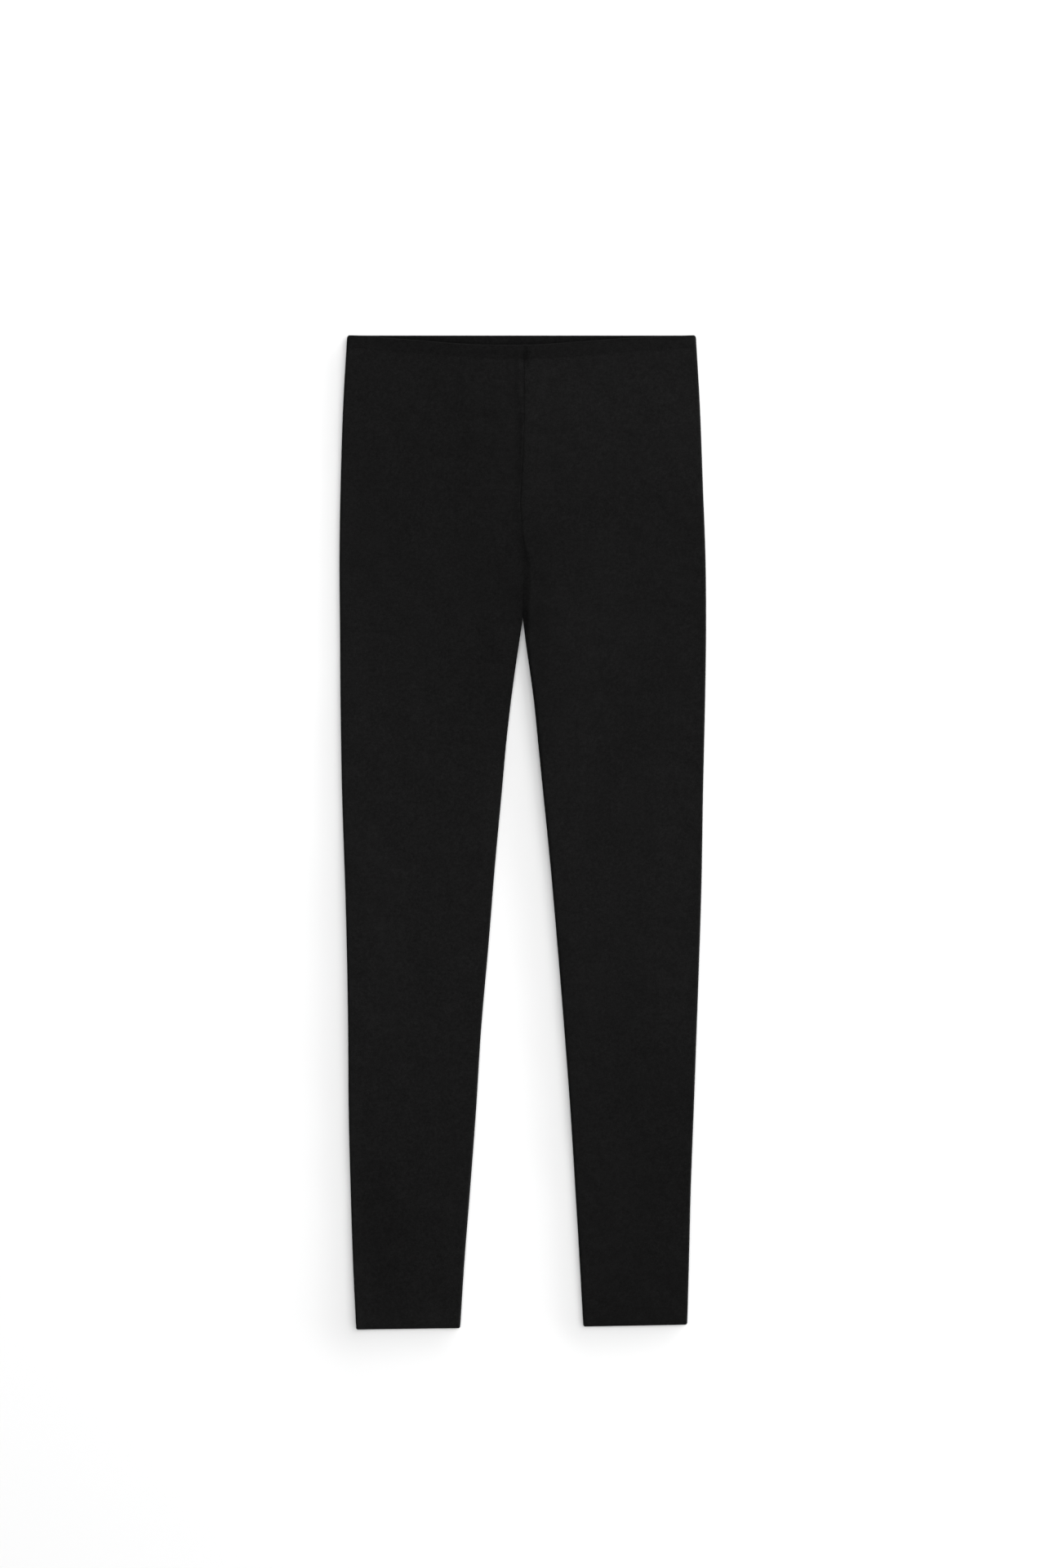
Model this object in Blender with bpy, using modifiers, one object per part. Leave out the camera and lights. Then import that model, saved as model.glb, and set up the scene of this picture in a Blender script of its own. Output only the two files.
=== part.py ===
"""Plain knit leggings, laid flat on their back: one wrapped panel for each leg, and a waistband.

Metres. X runs across the garment with its own right leg at -X, +Y runs up to the waist, and +Z
rises from the surface that it lies on. The back layer is flat at z = 0, and the front layer lies
on it. "down" is a distance measured from the back waist edge towards the hems.
"""

from collections import namedtuple
import math

import bpy

# Driving sizes
LENGTH = 0.973
RISE = 0.277
BAND_HEIGHT = 0.0116
SEAM_GAP = 0.0003

PANEL_TOP = BAND_HEIGHT + SEAM_GAP

CLOTH_WALL = 0.0013
LAID_HEIGHT = 0.0041
FOLD_WIDTH = 0.0020
FOLD_FADE = 0.014
DIP_FADE = 0.200

# The front swells a little under the waistband's seam
WAIST_SWELL = 0.0003
WAIST_SWELL_FADE = 0.015

BAND_WALL = 0.0019
BAND_LAID_HEIGHT = 0.0052
BAND_SEAM_HEIGHT = 0.0044
BAND_FOLD_HEIGHT = 0.0046
BAND_FOLD_WIDTH = 0.0024
BAND_EDGE_ROUND = 0.0006

# At the crotch the front's edge turns to a half-round roll first, from the side of a trough,
# and then the back's edge curls up to meet it at the rise
TROUGH_START = 0.195
ROUND_START = 0.240
ROUND_END = 0.254
CURL_START = 0.254

# How far the height of each leg's inner roll reaches over its front. The left leg lies fuller.
ROLL_REACH = {"right": 0.030, "left": 0.110}

# The allowances of the centre-front seam lift both panels to it, over a narrow strip of the
# right one, which they are pressed towards, and over a wide one of the left
RIDGE_HEIGHT = 0.0008
RIDGE_WIDTH = {"right": 0.0085, "left": 0.0300}
RIDGE_END = 0.225
RIDGE_FADE = 0.030

# How finely the sections are divided. A cut edge starts with a short step, so that its own
# face stands square to the seam.
EDGE_SHARES = (0.0, 0.07, 0.25, 0.5, 0.75, 1.0)
FOLD_STEPS = 4
FRONT_STEPS = 11
BACK_STEPS = 4
BAND_FRONT_STEPS = 24
BAND_BACK_STEPS = 12

KNIT_BLACK = (0.0105, 0.0105, 0.0105, 1.0)
KNIT_ROUGHNESS = 0.9

Station = namedtuple("Station", "down right left")
Dip = namedtuple("Dip", "x edge seam")
Hem = namedtuple("Hem", "outer inner")
Rows = namedtuple("Rows", "start end count")
Crease = namedtuple("Crease", "x0 down0 x1 down1 bow width height")

# The outer fold of each leg: its distance from the centre line
OUTER_FOLD = [
    Station(down=0.000, right=0.1720, left=0.1695),
    Station(down=0.070, right=0.1760, left=0.1735),
    Station(down=0.150, right=0.1785, left=0.1765),
    Station(down=0.220, right=0.1795, left=0.1790),
    Station(down=0.290, right=0.1790, left=0.1795),
    Station(down=0.360, right=0.1785, left=0.1785),
    Station(down=0.450, right=0.1770, left=0.1765),
    Station(down=0.540, right=0.1740, left=0.1750),
    Station(down=0.620, right=0.1720, left=0.1725),
    Station(down=0.690, right=0.1710, left=0.1700),
    Station(down=0.760, right=0.1705, left=0.1675),
    Station(down=0.840, right=0.1685, left=0.1645),
    Station(down=0.910, right=0.1662, left=0.1628),
    Station(down=LENGTH, right=0.1632, left=0.1611),
]

# The inner fold, below the rise, where each inseam runs
INNER_FOLD = [
    Station(down=RISE, right=0.0000, left=0.0000),
    Station(down=0.300, right=0.0034, left=0.0027),
    Station(down=0.330, right=0.0078, left=0.0070),
    Station(down=0.360, right=0.0118, left=0.0110),
    Station(down=0.400, right=0.0163, left=0.0150),
    Station(down=0.450, right=0.0208, left=0.0200),
    Station(down=0.520, right=0.0273, left=0.0270),
    Station(down=0.600, right=0.0338, left=0.0340),
    Station(down=0.680, right=0.0408, left=0.0405),
    Station(down=0.760, right=0.0458, left=0.0465),
    Station(down=0.840, right=0.0518, left=0.0515),
    Station(down=0.910, right=0.0573, left=0.0557),
    Station(down=LENGTH, right=0.0613, left=0.0592),
]

# The height of the outer folds
FOLD_LEVEL = [
    Station(down=0.000, right=0.0040, left=0.0040),
    Station(down=0.150, right=0.0042, left=0.0042),
    Station(down=0.500, right=0.0044, left=0.0044),
    Station(down=0.740, right=0.0049, left=0.0044),
    Station(down=0.870, right=0.0058, left=0.0044),
    Station(down=0.930, right=0.0062, left=0.0040),
    Station(down=LENGTH, right=0.0060, left=0.0036),
]

# Where the front's inner edge lies: the height of the centre-front seam, and then the inseam's
SEAM_LEVEL = [
    Station(down=0.012, right=0.0049, left=0.0049),
    Station(down=0.190, right=0.0048, left=0.0048),
    Station(down=0.215, right=0.0042, left=0.0042),
    Station(down=0.240, right=0.0031, left=0.0031),
    Station(down=0.255, right=0.0026, left=0.0026),
    Station(down=RISE, right=0.0025, left=0.0026),
    Station(down=0.300, right=0.0023, left=0.0040),
    Station(down=0.330, right=0.0020, left=0.0056),
    Station(down=0.400, right=0.0018, left=0.0054),
    Station(down=0.450, right=0.0018, left=0.0047),
    Station(down=0.510, right=0.0018, left=0.0042),
    Station(down=0.560, right=0.0019, left=0.0035),
    Station(down=0.630, right=0.0020, left=0.0028),
    Station(down=0.750, right=0.0021, left=0.0032),
    Station(down=0.830, right=0.0022, left=0.0026),
    Station(down=LENGTH, right=0.0020, left=0.0023),
]

# How high the front rises from that edge, over what width, and the width of the back's curl
ROLL_CREST = [
    Station(down=0.180, right=0.0041, left=0.0041),
    Station(down=0.212, right=0.0043, left=0.0049),
    Station(down=0.232, right=0.0046, left=0.0062),
    Station(down=0.255, right=0.0051, left=0.0076),
    Station(down=RISE, right=0.0050, left=0.0085),
    Station(down=0.300, right=0.0046, left=0.0094),
    Station(down=0.330, right=0.0041, left=0.0104),
    Station(down=0.360, right=0.0038, left=0.0106),
    Station(down=0.400, right=0.0037, left=0.0098),
    Station(down=0.430, right=0.0037, left=0.0090),
    Station(down=0.470, right=0.0037, left=0.0088),
    Station(down=0.510, right=0.0037, left=0.0080),
    Station(down=0.550, right=0.0038, left=0.0068),
    Station(down=0.590, right=0.0039, left=0.0060),
    Station(down=0.640, right=0.0040, left=0.0054),
    Station(down=0.710, right=0.0041, left=0.0060),
    Station(down=0.750, right=0.0042, left=0.0069),
    Station(down=0.790, right=0.0043, left=0.0060),
    Station(down=0.830, right=0.0044, left=0.0050),
    Station(down=0.930, right=0.0044, left=0.0050),
    Station(down=LENGTH, right=0.0041, left=0.0045),
]
ROLL_WIDTH = [
    Station(down=0.195, right=0.0020, left=0.0020),
    Station(down=0.212, right=0.0028, left=0.0034),
    Station(down=0.230, right=0.0036, left=0.0080),
    Station(down=0.255, right=0.0023, left=0.0082),
    Station(down=RISE, right=0.0025, left=0.0062),
    Station(down=0.300, right=0.0022, left=0.0042),
    Station(down=0.330, right=0.0021, left=0.0034),
    Station(down=0.390, right=0.0019, left=0.0030),
    Station(down=0.520, right=0.0020, left=0.0028),
    Station(down=0.640, right=0.0022, left=0.0024),
    Station(down=LENGTH, right=0.0022, left=0.0024),
]
CURL_WIDTH = [
    Station(down=RISE, right=0.0026, left=0.0042),
    Station(down=0.300, right=0.0022, left=0.0060),
    Station(down=0.330, right=0.0020, left=0.0084),
    Station(down=0.450, right=0.0018, left=0.0076),
    Station(down=0.560, right=0.0018, left=0.0050),
    Station(down=0.750, right=0.0020, left=0.0040),
    Station(down=LENGTH, right=0.0020, left=0.0024),
]

# How far the front's waist edge, and the waistband's seam there, lie below the back's
FRONT_DIP = [
    Dip(x=-0.1720, edge=0.0000, seam=0.0000),
    Dip(x=-0.1540, edge=0.0006, seam=0.0010),
    Dip(x=-0.1300, edge=0.0028, seam=0.0038),
    Dip(x=-0.0940, edge=0.0057, seam=0.0067),
    Dip(x=-0.0580, edge=0.0085, seam=0.0095),
    Dip(x=-0.0200, edge=0.0096, seam=0.0114),
    Dip(x=0.0140, edge=0.0091, seam=0.0115),
    Dip(x=0.0500, edge=0.0067, seam=0.0092),
    Dip(x=0.0860, edge=0.0040, seam=0.0066),
    Dip(x=0.1220, edge=0.0018, seam=0.0036),
    Dip(x=0.1580, edge=0.0003, seam=0.0011),
    Dip(x=0.1700, edge=0.0000, seam=0.0000),
]

# Where each hem ends, at its outer and its inner fold
HEMS = {
    "right": Hem(outer=0.9730, inner=0.9718),
    "left": Hem(outer=0.9683, inner=0.9702),
}

# Rows of sections down a leg, closer together where the crotch turns
ROWS = [
    Rows(start=PANEL_TOP, end=TROUGH_START, count=7),
    Rows(start=TROUGH_START, end=CURL_START, count=4),
    Rows(start=CURL_START, end=RISE, count=3),
    Rows(start=RISE, end=0.330, count=4),
    Rows(start=0.330, end=LENGTH, count=20),
]

# Soft ridges (raised) and troughs (sunk) of the front layer, from one end to the other, bowed
# sideways between them
CREASES = {
    "right": [
        Crease(x0=-0.020, down0=0.060, x1=-0.016, down1=0.160, bow=0.003, width=0.036, height=0.0006),
        Crease(x0=-0.166, down0=0.135, x1=-0.168, down1=0.230, bow=0.004, width=0.034, height=-0.0006),
        Crease(x0=-0.060, down0=0.240, x1=-0.150, down1=0.300, bow=0.008, width=0.038, height=-0.0008),
        Crease(x0=-0.112, down0=0.255, x1=-0.158, down1=0.335, bow=-0.006, width=0.026, height=-0.0003),
        Crease(x0=-0.160, down0=0.520, x1=-0.158, down1=0.690, bow=0.006, width=0.032, height=0.0011),
        Crease(x0=-0.048, down0=0.815, x1=-0.084, down1=0.855, bow=0.005, width=0.034, height=0.0005),
        Crease(x0=-0.164, down0=0.835, x1=-0.160, down1=0.935, bow=0.003, width=0.024, height=-0.0007),
    ],
    "left": [
        Crease(x0=0.018, down0=0.045, x1=0.022, down1=0.150, bow=0.004, width=0.036, height=0.0006),
        Crease(x0=0.146, down0=0.140, x1=0.056, down1=0.200, bow=-0.008, width=0.040, height=0.0014),
        Crease(x0=0.128, down0=0.265, x1=0.138, down1=0.370, bow=0.005, width=0.036, height=0.0007),
        Crease(x0=0.074, down0=0.370, x1=0.062, down1=0.500, bow=0.006, width=0.038, height=-0.0009),
        Crease(x0=0.044, down0=0.570, x1=0.050, down1=0.665, bow=-0.004, width=0.030, height=0.0008),
        Crease(x0=0.122, down0=0.620, x1=0.050, down1=0.660, bow=0.006, width=0.026, height=0.0006),
        Crease(x0=0.128, down0=0.650, x1=0.160, down1=0.735, bow=-0.005, width=0.034, height=0.0008),
        Crease(x0=0.066, down0=0.745, x1=0.092, down1=0.785, bow=0.004, width=0.034, height=-0.0009),
        Crease(x0=0.158, down0=0.815, x1=0.156, down1=0.905, bow=-0.003, width=0.030, height=0.0006),
        Crease(x0=0.084, down0=0.940, x1=0.062, down1=0.960, bow=0.000, width=0.028, height=-0.0005),
    ],
}


def clear_scene():
    for thing in list(bpy.data.objects):
        bpy.data.objects.remove(thing, do_unlink=True)


def smooth_step(start, end, value):
    """0 up to start, 1 from end on, with a level beginning and finish."""
    part = min(max((value - start) / (end - start), 0.0), 1.0)
    return part * part * (3.0 - 2.0 * part)


def curve_at(knots, value):
    """A smooth curve through (position, size) pairs in order, read at one position."""
    last = len(knots) - 1
    value = min(max(value, knots[0][0]), knots[last][0])
    start = 0
    while start < last - 1 and knots[start + 1][0] < value:
        start += 1

    def slope(index):
        before = knots[max(index - 1, 0)]
        after = knots[min(index + 1, last)]
        return (after[1] - before[1]) / (after[0] - before[0])

    step = knots[start + 1][0] - knots[start][0]
    part = (value - knots[start][0]) / step
    rest = 1.0 - part
    ends = rest * rest * (1.0 + 2.0 * part) * knots[start][1]
    ends += part * part * (3.0 - 2.0 * part) * knots[start + 1][1]
    bends = part * rest * (rest * slope(start) - part * slope(start + 1))
    return ends + step * bends


def station_at(table, side, down):
    return curve_at([(station.down, getattr(station, side)) for station in table], down)


def outer_fold(side, down):
    return station_at(OUTER_FOLD, side, down)


def inner_fold(side, down):
    """The panel's inner edge: the centre seam above the rise, and the inseam's fold below it."""
    return max(station_at(INNER_FOLD, side, down), 0.5 * SEAM_GAP)


def front_dip(column, x):
    return curve_at([(dip.x, getattr(dip, column)) for dip in FRONT_DIP], x)


def crease_height(side, x, down):
    """All the ridges and troughs of one front layer, each fading away from its own line."""
    total = 0.0
    for crease in CREASES[side]:
        run_x = crease.x1 - crease.x0
        run_down = crease.down1 - crease.down0
        long = math.hypot(run_x, run_down)
        along = ((x - crease.x0) * run_x + (down - crease.down0) * run_down) / long ** 2
        along = min(max(along, 0.0), 1.0)
        bow = crease.bow * math.sin(math.pi * along)
        away_x = x - crease.x0 - along * run_x - bow * run_down / long
        away_down = down - crease.down0 - along * run_down + bow * run_x / long
        away = math.hypot(away_x, away_down) / crease.width
        total += crease.height * math.exp(-away * away)
    return total


def front_height(side, x, down):
    """How high the top of the front layer stands: fuller at the folds, then creased."""
    to_outer = max(outer_fold(side, down) - abs(x), 0.0)
    to_inner = max(abs(x) - inner_fold(side, down), 0.0)
    outer_swell = (station_at(FOLD_LEVEL, side, down) - LAID_HEIGHT) * math.exp(-to_outer / FOLD_FADE)
    inner_swell = station_at(ROLL_CREST, side, down) - LAID_HEIGHT
    inner_swell *= math.exp(-(to_inner / ROLL_REACH[side]) ** 2)
    waist_swell = WAIST_SWELL * math.exp(-(down - PANEL_TOP) / WAIST_SWELL_FADE)
    ridge = RIDGE_HEIGHT * smooth_step(RIDGE_WIDTH[side], 0.0, to_inner)
    ridge *= smooth_step(RIDGE_END, RIDGE_END - RIDGE_FADE, down)
    height = LAID_HEIGHT + outer_swell + inner_swell + waist_swell + ridge
    return height + crease_height(side, x, down)


def inner_roll(side, down):
    """The front's inner roll as (distance from the edge, share of its rise), edge first."""
    width = station_at(ROLL_WIDTH, side, down)
    rounding = smooth_step(ROUND_START, ROUND_END, down)
    roll = []
    for share in EDGE_SHARES:
        angle = 0.5 * math.pi * share
        reach = 1.0 - math.cos(angle)
        straight = 1.5 * reach - 0.5 * reach ** 3
        roll.append((width * reach, rounding * math.sin(angle) + (1.0 - rounding) * straight))
    return roll


def back_margin(side, down):
    """The back's inner margin as (distance from the edge, curl angle), edge first.

    Above the crotch it lies flat. Towards the rise it curls up, and below the rise it is a
    quarter turn that meets the front's roll at the inseam.
    """
    closing = smooth_step(CURL_START, RISE, down)
    curl = 0.5 * math.pi * closing
    width = FOLD_WIDTH + (station_at(CURL_WIDTH, side, down) - FOLD_WIDTH) * closing
    margin = []
    for share in EDGE_SHARES:
        angle = curl * (1.0 - share)
        reach = math.sin(angle) / math.sin(curl) if curl > 0.001 else 1.0 - share
        margin.append((width * (1.0 - reach), angle))
    return margin


def spread(start, end, steps):
    """Places from start to end, closer together at both ends, without the ends themselves."""
    places = []
    for step in range(1, steps):
        share = 0.5 - 0.5 * math.cos(math.pi * step / steps)
        places.append(start + (end - start) * share)
    return places


def leg_section(side, down):
    """One row of a leg panel: (distance from the centre line, height, on the front) from the
    front inner edge, over the front, round the outer fold, and along the back to its edge."""
    sign = -1.0 if side == "right" else 1.0
    inner = inner_fold(side, down)
    outer = outer_fold(side, down)
    middle = 0.5 * station_at(FOLD_LEVEL, side, down)
    front_edge = station_at(SEAM_LEVEL, side, down) + 0.5 * SEAM_GAP
    back_edge = front_edge - 1.5 * SEAM_GAP
    section = []

    roll = inner_roll(side, down)
    for distance, rise in roll:
        top = front_height(side, sign * (inner + distance), down)
        section.append((inner + distance, front_edge + (top - front_edge) * rise, True))

    for place in spread(inner + roll[-1][0], outer - FOLD_WIDTH, FRONT_STEPS):
        section.append((place, front_height(side, sign * place, down), True))

    for step in range(2 * FOLD_STEPS + 1):
        angle = 0.5 * math.pi * (1.0 - step / FOLD_STEPS)
        place = outer - FOLD_WIDTH * (1.0 - math.cos(angle))
        top = front_height(side, sign * place, down)
        half = top - middle if angle > 0.0 else middle
        section.append((place, middle + half * math.sin(angle), angle > 0.0))

    margin = back_margin(side, down)
    for place in spread(outer - FOLD_WIDTH, inner + margin[-1][0], BACK_STEPS):
        section.append((place, 0.0, False))

    for distance, angle in reversed(margin):
        section.append((inner + distance, back_edge * (1.0 - math.cos(angle)), False))
    return section


def leg_place(side, down, distance, height, on_front):
    """A section's point in space, with the front's dip at the waist and the hem's slant."""
    sign = -1.0 if side == "right" else 1.0
    x = sign * distance
    if on_front and down < DIP_FADE:
        down += front_dip("seam", x) * ((DIP_FADE - down) / (DIP_FADE - PANEL_TOP)) ** 2
    elif down > RISE:
        hem = HEMS[side]
        outer = outer_fold(side, LENGTH)
        across = (outer - distance) / (outer - inner_fold(side, LENGTH))
        hem_down = hem.outer + (hem.inner - hem.outer) * min(max(across, 0.0), 1.0)
        down = RISE + (down - RISE) * (hem_down - RISE) / (LENGTH - RISE)
    return (x, 0.5 * LENGTH - down, height)


def row_downs():
    downs = [ROWS[0].start]
    for rows in ROWS:
        for step in range(1, rows.count + 1):
            downs.append(rows.start + (rows.end - rows.start) * step / rows.count)
    return downs


def knit_material(name):
    material = bpy.data.materials.new(name)
    material.use_nodes = True
    shader = material.node_tree.nodes["Principled BSDF"]
    shader.inputs["Base Color"].default_value = KNIT_BLACK
    shader.inputs["Roughness"].default_value = KNIT_ROUGHNESS
    shader.inputs["Metallic"].default_value = 0.0
    return material


def keep_border_sharp(mesh):
    """The cut edges stay crisp, so the wall's rim doesn't shade into the cloth's two faces."""
    uses = {}
    for face in mesh.polygons:
        for key in face.edge_keys:
            uses[key] = uses.get(key, 0) + 1
    for edge in mesh.edges:
        edge.use_edge_sharp = uses[edge.key] == 1


def cloth_sheet(name, rows, closed, inside_out, collection):
    """A sheet through rows of points, as a smooth object of its own in the collection."""
    across = len(rows[0])
    points = [point for row in rows for point in row]
    faces = []
    for row in range(len(rows) - 1):
        for column in range(across if closed else across - 1):
            following = (column + 1) % across
            face = (row * across + column, row * across + following,
                    (row + 1) * across + following, (row + 1) * across + column)
            faces.append(tuple(reversed(face)) if inside_out else face)
    mesh = bpy.data.meshes.new(name)
    mesh.from_pydata(points, [], faces)
    mesh.shade_smooth()
    keep_border_sharp(mesh)
    mesh.materials.append(knit_material(name + "_knit"))
    sheet = bpy.data.objects.new(name, mesh)
    collection.objects.link(sheet)
    return sheet


def give_wall(sheet, thickness):
    """The cloth's thickness, all of it inside the sheet, so the outer form stays as it is."""
    wall = sheet.modifiers.new("wall", "SOLIDIFY")
    wall.thickness = thickness
    wall.offset = -1.0
    wall.use_even_offset = True
    wall.use_quality_normals = True


def round_edges(sheet, width):
    rounding = sheet.modifiers.new("rounded edges", "BEVEL")
    rounding.width = width
    rounding.segments = 2
    rounding.limit_method = "ANGLE"
    rounding.angle_limit = math.radians(60.0)


def make_leg(side, collection):
    """One leg: a single panel that wraps from the front seams round the outer fold to the back."""
    rows = []
    for down in row_downs():
        rows.append([leg_place(side, down, *point) for point in leg_section(side, down)])
    leg = cloth_sheet("leg_" + side, rows, closed=False, inside_out=side == "left", collection=collection)
    give_wall(leg, CLOTH_WALL)


def band_ring(share):
    """One level of the waistband, as (x, height, on the front), once round from its right fold.

    The level is a share of the band's height, 0 at its top edge and 1 at its seam.
    """
    right = -outer_fold("right", share * BAND_HEIGHT)
    left = outer_fold("left", share * BAND_HEIGHT)
    laid = BAND_LAID_HEIGHT + (BAND_SEAM_HEIGHT - BAND_LAID_HEIGHT) * share
    middle = 0.5 * BAND_FOLD_HEIGHT
    ring = []

    def fold(tip, inward, first_angle):
        for step in range(2 * FOLD_STEPS + 1):
            angle = first_angle * (1.0 - step / FOLD_STEPS)
            place = tip + inward * BAND_FOLD_WIDTH * (1.0 - math.cos(angle))
            ring.append((place, middle + middle * math.sin(angle), angle > 0.0))

    fold(right, 1.0, -0.5 * math.pi)
    for place in spread(right + BAND_FOLD_WIDTH, left - BAND_FOLD_WIDTH, BAND_FRONT_STEPS):
        to_fold = min(place - right, left - place)
        fullness = math.exp(-to_fold / FOLD_FADE)
        ring.append((place, laid + (BAND_FOLD_HEIGHT - laid) * fullness, True))
    fold(left, -1.0, 0.5 * math.pi)
    for place in spread(left - BAND_FOLD_WIDTH, right + BAND_FOLD_WIDTH, BAND_BACK_STEPS):
        ring.append((place, 0.0, False))
    return ring


def make_waistband(collection):
    """The waistband: a flattened ring whose front lies a little lower than its back."""
    rows = []
    for share in (0.0, 0.5, 1.0):
        row = []
        for x, height, on_front in band_ring(share):
            down = share * BAND_HEIGHT
            if on_front:
                down += (1.0 - share) * front_dip("edge", x) + share * front_dip("seam", x)
            row.append((x, 0.5 * LENGTH - down, height))
        rows.append(row)
    band = cloth_sheet("waistband", rows, closed=True, inside_out=True, collection=collection)
    give_wall(band, BAND_WALL)
    round_edges(band, BAND_EDGE_ROUND)


clear_scene()
leggings = bpy.data.collections.new("leggings")
bpy.context.scene.collection.children.link(leggings)
make_leg("right", leggings)
make_leg("left", leggings)
make_waistband(leggings)
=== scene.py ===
import math
from collections import namedtuple

import bpy
import numpy as np
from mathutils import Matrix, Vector, noise


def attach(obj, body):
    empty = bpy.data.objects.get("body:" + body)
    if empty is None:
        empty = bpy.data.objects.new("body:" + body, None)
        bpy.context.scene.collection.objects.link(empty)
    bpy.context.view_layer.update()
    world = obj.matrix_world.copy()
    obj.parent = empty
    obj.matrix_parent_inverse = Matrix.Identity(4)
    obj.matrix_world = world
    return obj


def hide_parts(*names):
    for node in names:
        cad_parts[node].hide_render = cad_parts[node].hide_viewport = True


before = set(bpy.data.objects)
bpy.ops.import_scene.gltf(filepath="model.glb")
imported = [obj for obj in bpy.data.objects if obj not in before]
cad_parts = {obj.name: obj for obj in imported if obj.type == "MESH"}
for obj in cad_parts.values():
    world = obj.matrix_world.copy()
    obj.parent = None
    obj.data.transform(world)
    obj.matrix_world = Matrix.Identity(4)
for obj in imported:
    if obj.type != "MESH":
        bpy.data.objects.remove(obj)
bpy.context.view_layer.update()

# ---------------------------------------------------------------------------------------------
# The camera looks straight down on the garment, from high enough that it hardly narrows.
# Metres throughout: X across, +Y to the waist, +Z up from the surface.

# The height of table that the view takes in, and the middle of it
VIEW_HEIGHT = 1.536
VIEW_CENTRE = (-0.0003, 0.0473)
# In millimetres
LENS = 85.0
FILM = 36.0

camera_data = bpy.data.cameras.new("camera")
camera_data.lens = LENS
camera_data.sensor_fit = "VERTICAL"
camera_data.sensor_height = FILM
camera = bpy.data.objects.new("camera", camera_data)
camera.location = (VIEW_CENTRE[0], VIEW_CENTRE[1], VIEW_HEIGHT * LENS / FILM)
bpy.context.scene.collection.objects.link(camera)
bpy.context.scene.camera = camera
bpy.context.scene.view_settings.view_transform = "Standard"


# ---------------------------------------------------------------------------------------------
# The table is a plain white sheet. A panel overhead gives most of the light. A long strip low
# down at the upper right and a raised one at the right side give the soft shadows.
FLOOR_SIZE = 12.0
# A hair below the cloth, whose underside would otherwise lie in the same plane
FLOOR_DROP = 0.0002
FLOOR_WHITE = (0.89, 0.89, 0.89, 1.0)
ROOM_LIGHT = 0.148


def light_panel(name, place, size, power):
    """A rectangular light at a place, facing the middle of the table."""
    panel = bpy.data.lights.new(name, "AREA")
    panel.shape = "RECTANGLE"
    panel.size = size[0]
    panel.size_y = size[1]
    panel.energy = power
    lamp = bpy.data.objects.new(name, panel)
    lamp.location = place
    lamp.rotation_euler = (-Vector(place)).to_track_quat("-Z", "Y").to_euler()
    lamp.visible_camera = False
    bpy.context.scene.collection.objects.link(lamp)


light_panel("overhead_panel", place=(-0.15, 0.51, 5.07), size=(7.0, 3.5), power=220.0)
light_panel("side_panel", place=(3.69, 0.72, 2.92), size=(14.3, 2.3), power=176.0)
light_panel("low_strip", place=(3.52, 3.17, 0.446), size=(14.3, 0.88), power=1320.0)

room = bpy.data.worlds.new("room")
room.use_nodes = True
room_air = room.node_tree.nodes["Background"]
room_air.inputs["Color"].default_value = (1.0, 1.0, 1.0, 1.0)
room_air.inputs["Strength"].default_value = ROOM_LIGHT
bpy.context.scene.world = room

half = 0.5 * FLOOR_SIZE
floor_mesh = bpy.data.meshes.new("floor")
floor_mesh.from_pydata(
    [(-half, -half, -FLOOR_DROP), (half, -half, -FLOOR_DROP),
     (half, half, -FLOOR_DROP), (-half, half, -FLOOR_DROP)],
    [], [(0, 1, 2, 3)])
floor_finish = bpy.data.materials.new("white_table")
floor_finish.use_nodes = True
floor_shader = floor_finish.node_tree.nodes["Principled BSDF"]
floor_shader.inputs["Base Color"].default_value = FLOOR_WHITE
floor_shader.inputs["Roughness"].default_value = 0.9
floor_shader.inputs["Specular IOR Level"].default_value = 0.1
floor_mesh.materials.append(floor_finish)
floor = bpy.data.objects.new("floor", floor_mesh)
bpy.context.scene.collection.objects.link(floor)


# ---------------------------------------------------------------------------------------------
# Black jersey, the cloth of every piece: fine cotton and elastane knit, matte and slightly
# napped. Its wales run down the leg, and each loop is a pair of slanting strands.
WALE = 0.00095
COURSE = 0.00075
LOOP_SLANT = 0.9
LOOP_RELIEF = 0.00012
RELIEF_STRENGTH = 0.7
FUZZ_RELIEF = 0.8
FUZZ_SIZE = 0.0012
PILL_SIZE = 0.0032
BLOTCH_SIZE = 0.016
JERSEY_BLACK = 0.0069
# From the darkest to the palest, as shares of that black
# The loops' range is painted shade: darker in the gaps between strands, paler on them
LOOP_PAINTED_SHADES = (0.72, 1.12)
FUZZ_SHADES = (0.69, 1.34)
PILL_SHADES = (0.85, 1.15)
BLOTCH_SHADES = (0.93, 1.07)
# From where the fuzz is thin to where it is thick
FUZZ_ROUGHNESS = (0.95, 0.82)


def math_socket(tree, operation, *values):
    node = tree.nodes.new("ShaderNodeMath")
    node.operation = operation
    for socket, value in zip(node.inputs, values):
        if isinstance(value, (int, float)):
            socket.default_value = value
        else:
            tree.links.new(value, socket)
    return node.outputs[0]


def noise_socket(tree, place, size, detail, roughness=0.5):
    node = tree.nodes.new("ShaderNodeTexNoise")
    node.inputs["Scale"].default_value = 1.0 / size
    node.inputs["Detail"].default_value = detail
    node.inputs["Roughness"].default_value = roughness
    tree.links.new(place, node.inputs["Vector"])
    return node.outputs["Fac"]


def between(tree, value, ends, across=(0.3, 0.7)):
    """A value that runs from one end to the other as the given socket crosses a range, which
    for a noise holds nearly all of it."""
    node = tree.nodes.new("ShaderNodeMapRange")
    tree.links.new(value, node.inputs["Value"])
    node.inputs["From Min"].default_value = across[0]
    node.inputs["From Max"].default_value = across[1]
    node.inputs["To Min"].default_value = ends[0]
    node.inputs["To Max"].default_value = ends[1]
    return node.outputs["Result"]


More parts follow.
